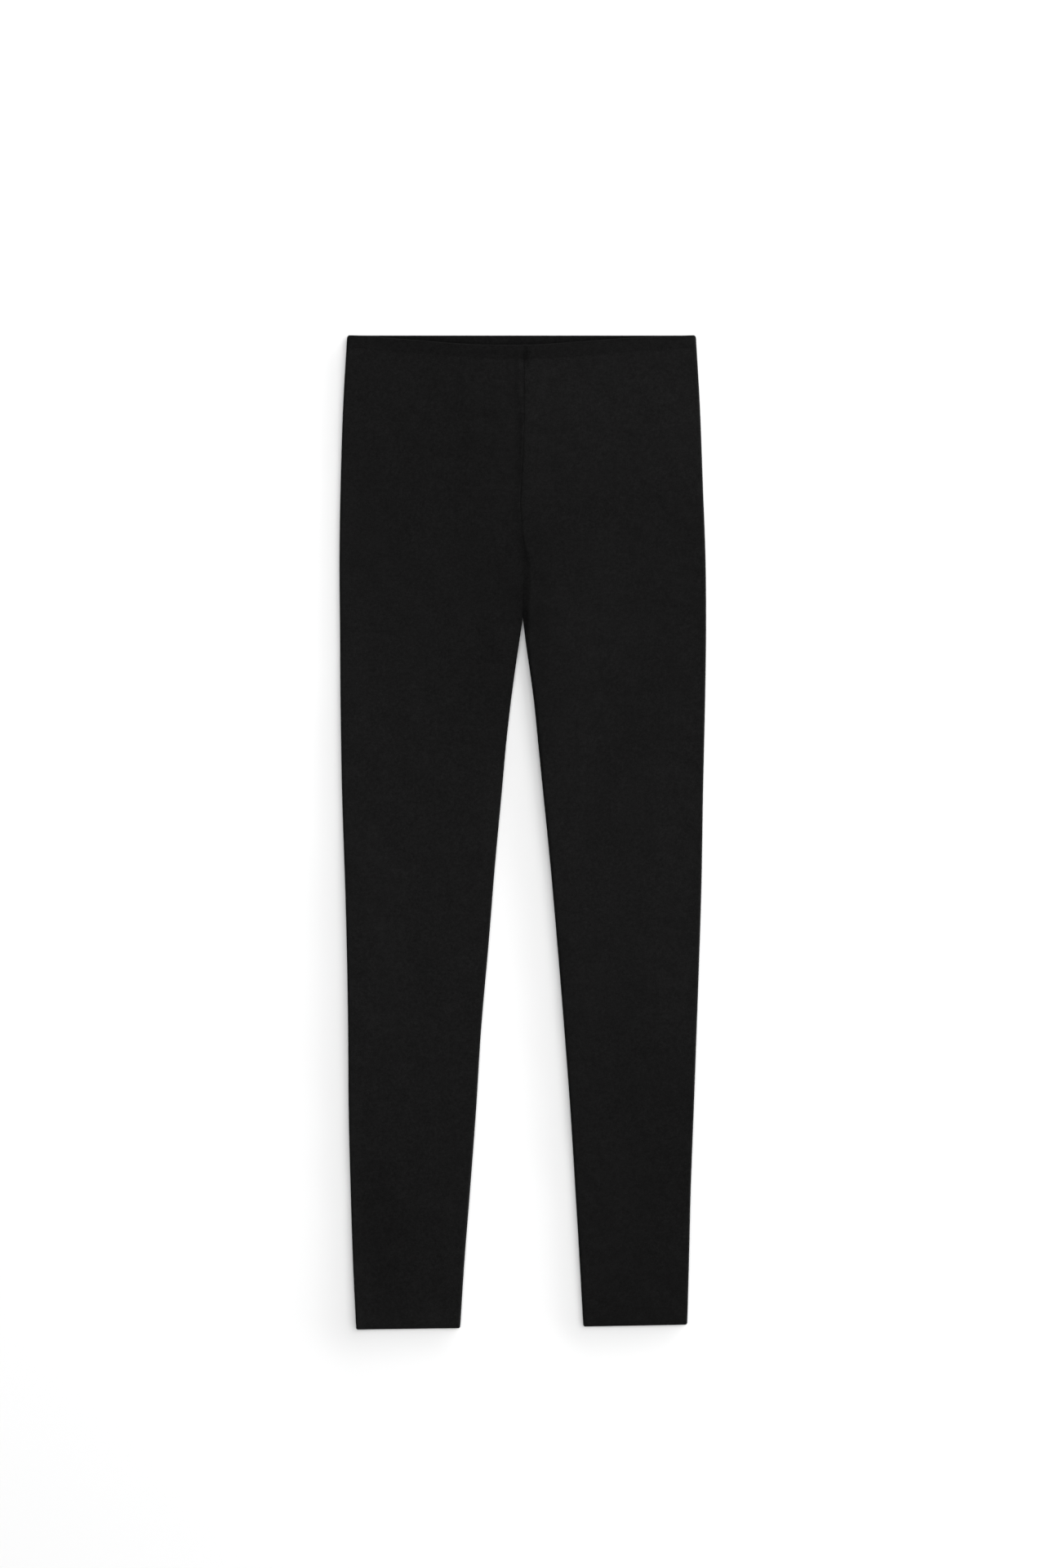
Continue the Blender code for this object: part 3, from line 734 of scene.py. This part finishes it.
def cloth_mesh(name, points, nap, finishes, inside_rows=(), ring=False, closed_section=False,
               inside_out=False):
    """A sheet over a grid of points, with a UV map in metres of cloth and its painted light and shade.
    Where ring is true its columns close, and where closed_section is true its rows do. The inside rows
    take the second finish."""
    rows, columns = points.shape[:2]
    wrapped = points
    if ring:
        wrapped = np.concatenate([wrapped, wrapped[:, :1]], axis=1)
    if closed_section:
        wrapped = np.concatenate([wrapped, wrapped[:1]], axis=0)
    steps = np.linalg.norm(np.diff(wrapped, axis=1), axis=2)
    across = np.concatenate([np.zeros((len(wrapped), 1)), np.cumsum(steps, axis=1)], axis=1)
    steps = np.linalg.norm(np.diff(wrapped, axis=0), axis=2).mean(axis=1)
    along = np.concatenate([[0.0], np.cumsum(steps)])

    faces = []
    coordinates = []
    for row in range(len(wrapped) - 1):
        for column in range(wrapped.shape[1] - 1):
            corners = [(row, column), (row, column + 1), (row + 1, column + 1), (row + 1, column)]
            if inside_out:
                corners.reverse()
            faces.append([r % rows * columns + c % columns for r, c in corners])
            coordinates.extend([(across[r, c], along[r]) for r, c in corners])
    mesh = bpy.data.meshes.new(name)
    mesh.from_pydata(points.reshape(-1, 3).tolist(), [], faces)
    mesh.uv_layers.new(name="cloth").data.foreach_set("uv", np.array(coordinates).ravel())
    mesh.attributes.new("nap", "FLOAT", "POINT").data.foreach_set("value", nap.ravel())
    for finish in finishes:
        mesh.materials.append(finish)
    for face in mesh.polygons:
        face.material_index = 1 if face.index // (wrapped.shape[1] - 1) in inside_rows else 0

    uses = {}
    for face in mesh.polygons:
        for key in face.edge_keys:
            uses[key] = uses.get(key, 0) + 1
    # A cut edge stays crisp, and the rest is smooth
    mesh.shade_smooth()
    for edge in mesh.edges:
        edge.use_edge_sharp = uses[edge.key] == 1
    piece = bpy.data.objects.new(name, mesh)
    bpy.context.scene.collection.objects.link(piece)
    return piece


def give_thickness(piece, thickness, rounding):
    wall = piece.modifiers.new("thickness", "SOLIDIFY")
    wall.thickness = thickness
    wall.offset = -1.0
    wall.use_even_offset = True
    edges = piece.modifiers.new("rounded edges", "BEVEL")
    edges.width = rounding
    edges.segments = 2
    edges.limit_method = "ANGLE"
    edges.angle_limit = math.radians(60.0)
    edges.harden_normals = False


def flat_area(points):
    """The area of the cloth over a grid of points."""
    across = points[:-1, 1:] - points[:-1, :-1]
    along = points[1:, :-1] - points[:-1, :-1]
    return float(np.linalg.norm(np.cross(across, along), axis=2).sum())


jersey_black = jersey("black_jersey", JERSEY_BLACK)
# The rows stand closest at the waist seam and the hem
edge_steps = (np.arange(EDGE_ROWS) / EDGE_ROWS) ** 1.5
leg_downs = np.concatenate([
    BAND_HEIGHT - SEAM_OVERLAP + WAIST_ROWS_REACH * edge_steps,
    np.linspace(BAND_HEIGHT + WAIST_ROWS_REACH, LENGTH - HEM_ROWS_REACH, PANEL_ROWS),
    LENGTH - HEM_ROWS_REACH * edge_steps[::-1],
])
panels = {}
for side in ("right", "left"):
    points = panel_points(side, leg_downs)
    leg = cloth_mesh("leg_" + side + "_panel", points, painted_light_and_shade_at(points), [jersey_black],
                     inside_out=side == "left")
    give_thickness(leg, JERSEY_THICKNESS, EDGE_ROUND)
    panels[side] = (leg, flat_area(points))


# ---------------------------------------------------------------------------------------------
# The waistband: a strip of the same jersey folded over elastic and joined into a ring, so its
# top edge is round. It is double and drawn tight, and its front lies lower than its back.
BAND_BLACK = 0.0063
# The inside is a shade darker: partly the knit's duller wrong side, partly painted shade inside the
# band
BAND_INSIDE_BLACK_AND_SHADE = 0.0059
BAND_THICKNESS = 0.0019
BAND_LAID_HEIGHT = 0.0052
BAND_SEAM_HEIGHT = 0.0044
BAND_FOLD_HEIGHT = 0.0046
BAND_FOLD_WIDTH = 0.0024
BAND_CORNER_REACH = 0.004
BAND_SEAM_ROUND = 0.00004
BAND_FRONT_STEPS = 170
BAND_BACK_STEPS = 90
BAND_EDGE_LOOP = 0.0001
BAND_OUTSIDE_STEPS = 12
BAND_TURN_STEPS = 9
BAND_INSIDE_STEPS = 8
# Painted shade: the band's colour is darker on its top fold, and inside just above the front edge
FOLD_PAINTED_SHADE = 0.42
FOLD_PAINTED_SHADE_REACH = 0.0011
INSIDE_PAINTED_SHADE = 0.38
INSIDE_PAINTED_SHADE_REACH = 0.0045


def band_section():
    """Once round the band's wall, as distances down from its top and into its thickness: up the
    outside, over the top fold, down the inside, and back along the seam. Also which of its rows
    are the inside, from the middle of the fold."""
    radius = 0.5 * BAND_THICKNESS
    bottom = BAND_HEIGHT - BAND_SEAM_ROUND
    straight = np.linspace(bottom - BAND_EDGE_LOOP, radius, BAND_OUTSIDE_STEPS + 1)
    outside = [(bottom, 0.0)] + [(down, 0.0) for down in straight]
    turns = math.pi * np.arange(1, BAND_TURN_STEPS) / BAND_TURN_STEPS
    top = [(radius - radius * math.sin(turn), radius - radius * math.cos(turn)) for turn in turns]
    straight = np.linspace(radius, bottom, BAND_INSIDE_STEPS + 1)
    inside = [(down, BAND_THICKNESS) for down in straight]
    seam = [(BAND_HEIGHT, BAND_THICKNESS - BAND_SEAM_ROUND), (BAND_HEIGHT, BAND_SEAM_ROUND)]
    fold_middle = len(outside) + BAND_TURN_STEPS // 2 - 1
    inside_rows = range(fold_middle, len(outside) + len(top) + len(inside) - 1)
    return np.array(outside + top + inside + seam), inside_rows


def band_points(section):
    """The band's points as (rows, columns, 3): a row for each place in its section, from the
    right fold over the front, round the left fold, and along the back."""
    down = section[:, :1]
    depth = section[:, 1:]
    share = np.clip(down / BAND_HEIGHT, 0.0, 1.0)
    right = -outer_fold("right", down)
    left = outer_fold("left", down)
    middle = 0.5 * BAND_FOLD_HEIGHT
    laid = BAND_LAID_HEIGHT + (BAND_SEAM_HEIGHT - BAND_LAID_HEIGHT) * share

    turn = 0.5 * math.pi * (np.arange(2 * FOLD_STEPS + 1) / FOLD_STEPS - 1.0)
    right_fold = right + BAND_FOLD_WIDTH * (1.0 - np.cos(turn))
    left_fold = left - BAND_FOLD_WIDTH * (1.0 - np.cos(turn[::-1]))
    step = np.arange(1, BAND_FRONT_STEPS) / BAND_FRONT_STEPS
    front = right + BAND_FOLD_WIDTH + (left - right - 2.0 * BAND_FOLD_WIDTH) * step
    to_fold = np.minimum(front - right, left - front)
    front_z = laid + (BAND_FOLD_HEIGHT - laid) * np.exp(-to_fold / FOLD_FADE)
    step = np.arange(1, BAND_BACK_STEPS) / BAND_BACK_STEPS
    back = left - BAND_FOLD_WIDTH - (left - right - 2.0 * BAND_FOLD_WIDTH) * step

    x = np.hstack([right_fold, front, left_fold, back])
    fold_z = np.broadcast_to(middle + middle * np.sin(turn), right_fold.shape)
    z = np.hstack([fold_z, front_z, fold_z[:, ::-1], np.zeros_like(back)])

    along_x = np.roll(x, -1, axis=1) - np.roll(x, 1, axis=1)
    along_z = np.roll(z, -1, axis=1) - np.roll(z, 1, axis=1)
    long = np.hypot(along_x, along_z)
    inner_x = x + depth * along_z / long
    inner_z = z - depth * along_x / long

    columns = np.arange(x.shape[1])
    on_front = (columns > FOLD_STEPS) & (columns < 3 * FOLD_STEPS + BAND_FRONT_STEPS)
    lowered = (1.0 - share) * front_dip("edge", x) + share * front_dip("seam", x)
    drawn_back = corner_round(np.minimum(x - right, left - x))
    row_down = down + lowered * on_front + drawn_back * smooth_step(BAND_CORNER_REACH, 0.0, down)
    inner_z = inner_z - dimple_depth(inner_x, row_down) * on_front
    return np.stack([inner_x, 0.5 * LENGTH - row_down, inner_z], axis=2)


section, inside_rows = band_section()
points = band_points(section)
band_finishes = [jersey("band_jersey", BAND_BLACK), jersey("band_wrong_side_and_shade", BAND_INSIDE_BLACK_AND_SHADE)]
nap = painted_light_and_shade_at(points)
to_front_edge = 0.5 * LENGTH - points[..., 1] - front_dip("edge", points[..., 0])
inside = list(inside_rows)
# Painted shade inside the band just above the front edge, and on its top fold
nap[inside] *= 1.0 - INSIDE_PAINTED_SHADE * np.exp(-(to_front_edge[inside] / INSIDE_PAINTED_SHADE_REACH) ** 2)
nap *= 1.0 - FOLD_PAINTED_SHADE * np.exp(-(section[:, :1] / FOLD_PAINTED_SHADE_REACH) ** 2)
band = cloth_mesh("waistband_ring", points, nap, band_finishes, inside_rows, ring=True,
                  closed_section=True)


# ---------------------------------------------------------------------------------------------
# The overlock threads that show as a fine ladder down in every seam: black polyester, one short
# strand across the seam for each stitch. They follow the centre front and back, both inseams
# and the waist seam, and are strung along those lines by one node group.
STITCH_PITCH = 0.0024
STITCH_REACH = 0.0006
# The most that a strand leans, in radians
STITCH_LEAN = 0.22
THREAD_RADIUS = 0.00011
THREAD_TWIST = 0.0002
THREAD_BLACK = 0.0045
THREAD_SHADES = (0.7, 1.3)
THREAD_ROUGHNESS = (0.75, 0.55)
# A strand's ends dip into the cloth and its middle rises from it, in thread radii
STRAND_SINK = -1.2
STRAND_RISE = 1.6
STRAND_POINTS = 5
THREAD_SIDES = 6
# How deep the stitches are bedded, and how high the back's lie, which keeps them off the table
FRONT_BED = 0.00005
INSEAM_BED = 0.00008
WAIST_BED = 0.00016
BACK_LIFT = 0.00022
# How far each line of stitches stops short of the waistband, the crotch and the hem
WAIST_GAP = 0.002
ABOVE_CROTCH_GAP = 0.012
BELOW_CROTCH_GAP = 0.008
HEM_GAP = 0.004
CENTRE_LINE_POINTS = 120
INSEAM_POINTS = 160
LEG_SEED = 3
WAIST_SEED = 5


def thread_finish():
    finish = bpy.data.materials.new("black_thread")
    finish.use_nodes = True
    tree = finish.node_tree
    shader = tree.nodes["Principled BSDF"]
    place = tree.nodes.new("ShaderNodeTexCoord").outputs["Object"]
    twist = noise_socket(tree, place, THREAD_TWIST, detail=2.0)
    shade = math_socket(tree, "MULTIPLY", between(tree, twist, THREAD_SHADES), THREAD_BLACK)
    tree.links.new(grey_socket(tree, shade), shader.inputs["Base Color"])
    tree.links.new(between(tree, twist, THREAD_ROUGHNESS), shader.inputs["Roughness"])
    shader.inputs["Specular IOR Level"].default_value = 0.2
    return finish


def ladder_nodes():
    """A node group that sets one thread across a line at every pitch, from the line's own
    outward direction."""
    group = bpy.data.node_groups.new("seam_ladder", "GeometryNodeTree")
    sockets = {}
    wanted = [("Line", "NodeSocketGeometry"), ("Pitch", "NodeSocketFloat"),
              ("Reach", "NodeSocketFloat"), ("Radius", "NodeSocketFloat"),
              ("Seed", "NodeSocketInt"), ("Thread", "NodeSocketMaterial")]
    for name, kind in wanted:
        sockets[name] = group.interface.new_socket(name, in_out="INPUT", socket_type=kind)
    group.interface.new_socket("Stitches", in_out="OUTPUT", socket_type="NodeSocketGeometry")
    given = group.nodes.new("NodeGroupInput").outputs
    made = group.nodes.new("NodeGroupOutput").inputs

    def node(kind, **settings):
        new = group.nodes.new(kind)
        for name, value in settings.items():
            setattr(new, name, value)
        return new

    def link(output, target):
        group.links.new(output, target)

    def times(output, factor):
        new = node("ShaderNodeMath", operation="MULTIPLY")
        link(output, new.inputs[0])
        new.inputs[1].default_value = factor
        return new.outputs[0]

    def vector(**parts):
        new = node("ShaderNodeCombineXYZ")
        for axis, output in parts.items():
            link(output, new.inputs[axis])
        return new.outputs[0]

    curve = node("GeometryNodeMeshToCurve")
    link(given["Line"], curve.inputs["Mesh"])
    spaced = node("GeometryNodeResampleCurve", mode="LENGTH")
    link(curve.outputs["Curve"], spaced.inputs["Curve"])
    link(given["Pitch"], spaced.inputs["Length"])

    arch = node("GeometryNodeCurveQuadraticBezier")
    arch.inputs["Resolution"].default_value = STRAND_POINTS
    sunk = times(given["Radius"], STRAND_SINK)
    link(vector(X=times(given["Reach"], -1.0), Y=sunk), arch.inputs["Start"])
    link(vector(Y=times(given["Radius"], STRAND_RISE)), arch.inputs["Middle"])
    link(vector(X=given["Reach"], Y=sunk), arch.inputs["End"])
    profile = node("GeometryNodeCurvePrimitiveCircle")
    profile.inputs["Resolution"].default_value = THREAD_SIDES
    link(given["Radius"], profile.inputs["Radius"])
    strand = node("GeometryNodeCurveToMesh")
    strand.inputs["Fill Caps"].default_value = True
    link(arch.outputs["Curve"], strand.inputs["Curve"])
    link(profile.outputs["Curve"], strand.inputs["Profile Curve"])

    tangent = node("GeometryNodeInputTangent")
    outward = node("GeometryNodeInputNamedAttribute", data_type="FLOAT_VECTOR")
    outward.inputs["Name"].default_value = "outward"
    along_seam = node("FunctionNodeAlignRotationToVector", axis="Z")
    link(tangent.outputs["Tangent"], along_seam.inputs["Vector"])
    facing_out = node("FunctionNodeAlignRotationToVector", axis="Y", pivot_axis="Z")
    link(along_seam.outputs["Rotation"], facing_out.inputs["Rotation"])
    link(outward.outputs["Attribute"], facing_out.inputs["Vector"])

    lean = node("FunctionNodeRandomValue", data_type="FLOAT")
    lean.inputs["Min"].default_value = -STITCH_LEAN
    lean.inputs["Max"].default_value = STITCH_LEAN
    link(given["Seed"], lean.inputs["Seed"])
    turned = node("FunctionNodeRotateRotation", rotation_space="LOCAL")
    link(facing_out.outputs["Rotation"], turned.inputs["Rotation"])
    link(vector(Y=lean.outputs["Value"]), turned.inputs["Rotate By"])

    placed = node("GeometryNodeInstanceOnPoints")
    link(spaced.outputs["Curve"], placed.inputs["Points"])
    link(strand.outputs["Mesh"], placed.inputs["Instance"])
    link(turned.outputs["Rotation"], placed.inputs["Rotation"])
    real = node("GeometryNodeRealizeInstances")
    link(placed.outputs["Instances"], real.inputs["Geometry"])
    painted = node("GeometryNodeSetMaterial")
    link(real.outputs["Geometry"], painted.inputs["Geometry"])
    link(given["Thread"], painted.inputs["Material"])
    link(painted.outputs["Geometry"], made["Stitches"])
    return group, {name: socket.identifier for name, socket in sockets.items()}


def ladder(name, lines, seed, thread, group, names):
    """The stitches along several lines of (points, outward directions), as one plain mesh."""
    points = np.concatenate([line for line, outward in lines])
    outwards = np.concatenate([outward for line, outward in lines])
    edges = []
    start = 0
    for line, outward in lines:
        edges.extend([(start + i, start + i + 1) for i in range(len(line) - 1)])
        start += len(line)
    carrier = bpy.data.meshes.new(name + "_line")
    carrier.from_pydata(points.tolist(), edges, [])
    direction = carrier.attributes.new("outward", "FLOAT_VECTOR", "POINT")
    direction.data.foreach_set("vector", outwards.astype(np.float32).ravel())
    line_object = bpy.data.objects.new(name + "_line", carrier)
    bpy.context.scene.collection.objects.link(line_object)

    strung = line_object.modifiers.new("ladder", "NODES")
    strung.node_group = group
    strung[names["Pitch"]] = STITCH_PITCH
    strung[names["Reach"]] = STITCH_REACH
    strung[names["Radius"]] = THREAD_RADIUS
    strung[names["Seed"]] = seed
    strung[names["Thread"]] = thread
    ready = line_object.evaluated_get(bpy.context.evaluated_depsgraph_get())
    mesh = bpy.data.meshes.new_from_object(ready)
    mesh.name = name
    mesh.shade_smooth()
    bpy.data.objects.remove(line_object)
    piece = bpy.data.objects.new(name, mesh)
    bpy.context.scene.collection.objects.link(piece)
    return piece


def seam_line(x, down, height, outward):
    """A line of stitches as its points and the way that each faces."""
    points = np.stack([x, 0.5 * LENGTH - down, height], axis=1)
    return points, np.broadcast_to(np.array(outward, float), points.shape)


down = np.linspace(BAND_HEIGHT + WAIST_GAP, RISE - ABOVE_CROTCH_GAP, CENTRE_LINE_POINTS)
middle = np.zeros_like(down)
front_line = seam_line(seam_drift(middle, down), down + dip_of_row(middle, down),
                       seam_height("right", down) - FRONT_BED, (0.0, 0.0, 1.0))
back_line = seam_line(middle, down, middle + BACK_LIFT, (0.0, 0.0, -1.0))
inseams = []
down = np.linspace(RISE + BELOW_CROTCH_GAP, LENGTH - HEM_GAP, INSEAM_POINTS)
for side, sign in SIDE_SIGN.items():
    drawn_up = (HEMS[side].inner - RISE) / (LENGTH - RISE)
    inseams.append(seam_line(sign * (inner_fold(side, down) + INSEAM_BED),
                             RISE + (down - RISE) * drawn_up,
                             seam_height(side, down), (-sign, 0.0, 0.0)))

thread = thread_finish()
group, names = ladder_nodes()
leg_lines = [front_line, back_line] + inseams
leg_stitches = ladder("leg_seam_stitches", leg_lines, LEG_SEED, thread, group, names)

bedded, surface = band_points(np.array([[BAND_HEIGHT, WAIST_BED], [BAND_HEIGHT, 0.0]]))
outward = surface - bedded
outward /= np.linalg.norm(outward, axis=1)[:, None]
waist_line = (np.vstack([bedded, bedded[:1]]), np.vstack([outward, outward[:1]]))
waist_stitches = ladder("waist_seam_stitches", [waist_line], WAIST_SEED, thread, group, names)

for side in ("right", "left"):
    leg, area = panels[side]
    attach(leg, "root")
    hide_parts("leg_" + side)
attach(band, "root")
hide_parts("waistband")
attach(leg_stitches, "root")
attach(waist_stitches, "root")
